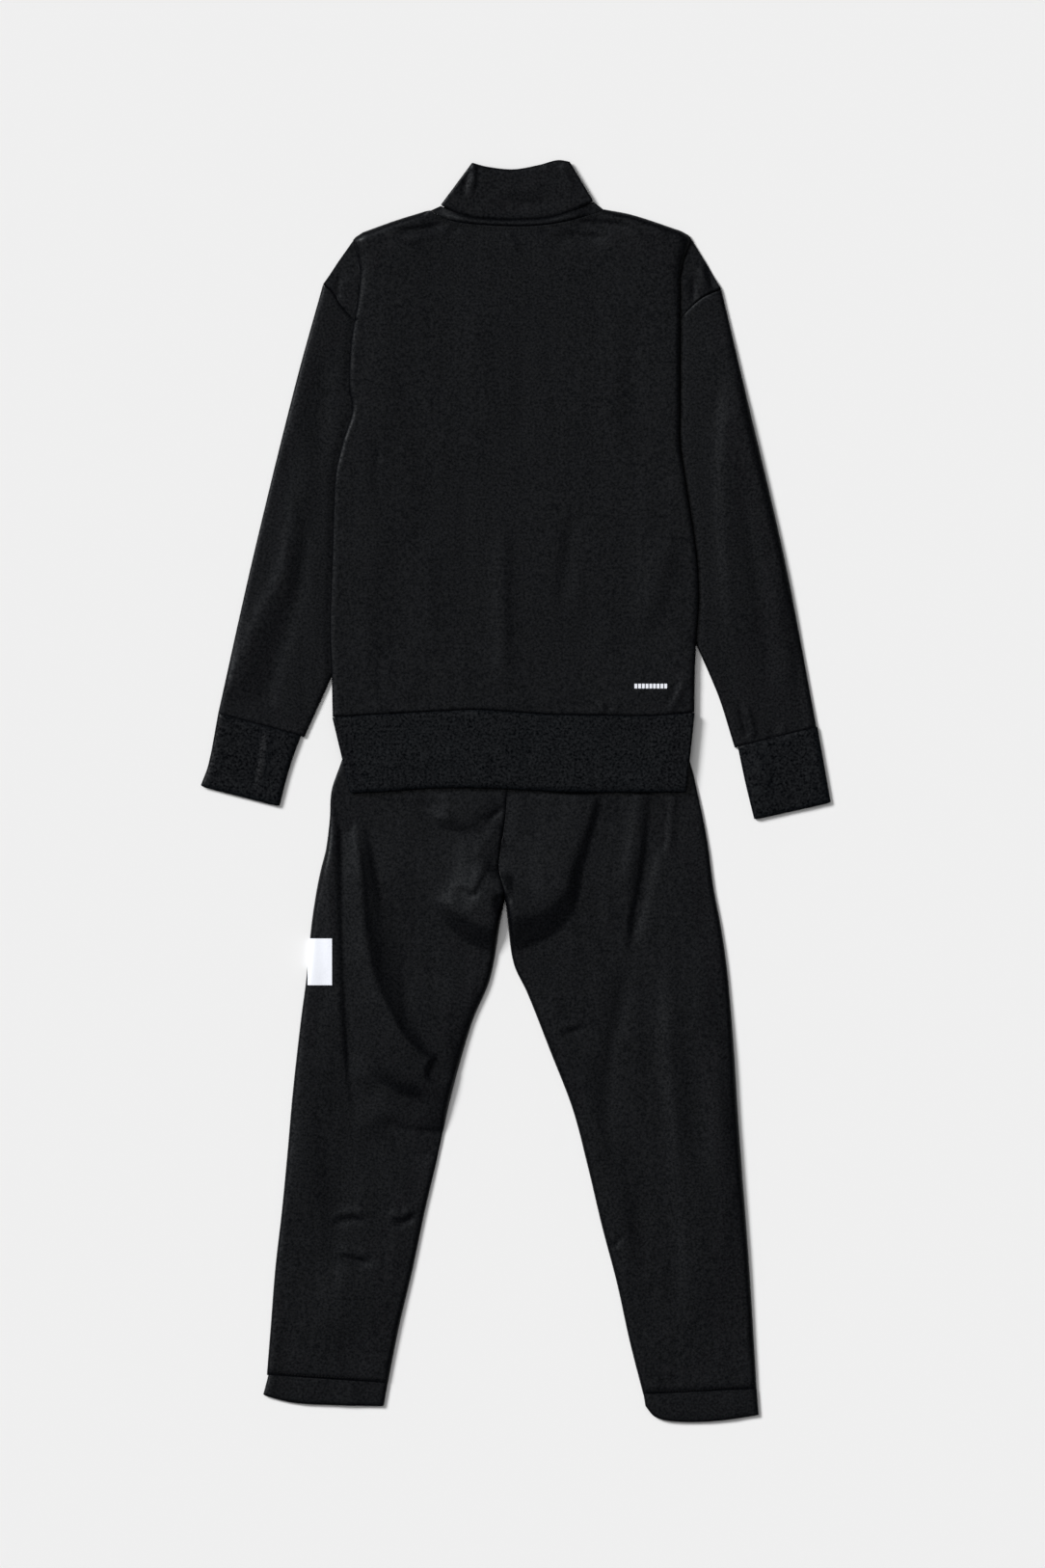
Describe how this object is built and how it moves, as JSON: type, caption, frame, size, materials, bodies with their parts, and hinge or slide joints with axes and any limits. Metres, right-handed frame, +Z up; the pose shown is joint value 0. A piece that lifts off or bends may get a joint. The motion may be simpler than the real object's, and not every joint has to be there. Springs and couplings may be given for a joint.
{
  "type": "tracksuit",
  "caption": "Child's zip-up tracksuit of black shiny tricot laid flat, back showing: stand-collar jacket with ribbed hem and cuffs, over straight-leg trousers",
  "frame": {"origin": "On the surface the suit lies on, under the middle of the whole layout", "axes": "+Y towards the collar, +X towards the wearer's right, +Z up out of the back that shows"},
  "size_m": [0.6248, 1.2418, 0.0091],
  "materials": {
    "tricot": "black polyester tricot, fine grain with a soft sheen",
    "rib": "black double-knit rib, grainy and matt",
    "zip_tape": "black woven zip tape",
    "zip_slider": "black lacquered slider"
  },
  "bodies": {
    "root": {"jacket_back": "tricot", "jacket_front_left": "tricot", "jacket_front_right": "tricot", "sleeve_left": "tricot", "sleeve_right": "tricot", "cuff_left": "rib", "cuff_right": "rib", "hem_band": "rib", "collar": "tricot", "neck_band": "tricot", "front_zip": "zip_tape", "zip_slider": "zip_slider", "trouser_back_left": "tricot", "trouser_back_right": "tricot", "trouser_front_left": "tricot", "trouser_front_right": "tricot", "leg_hem_left": "tricot", "leg_hem_right": "tricot", "waistband": "tricot"}
  },
  "joints": []
}
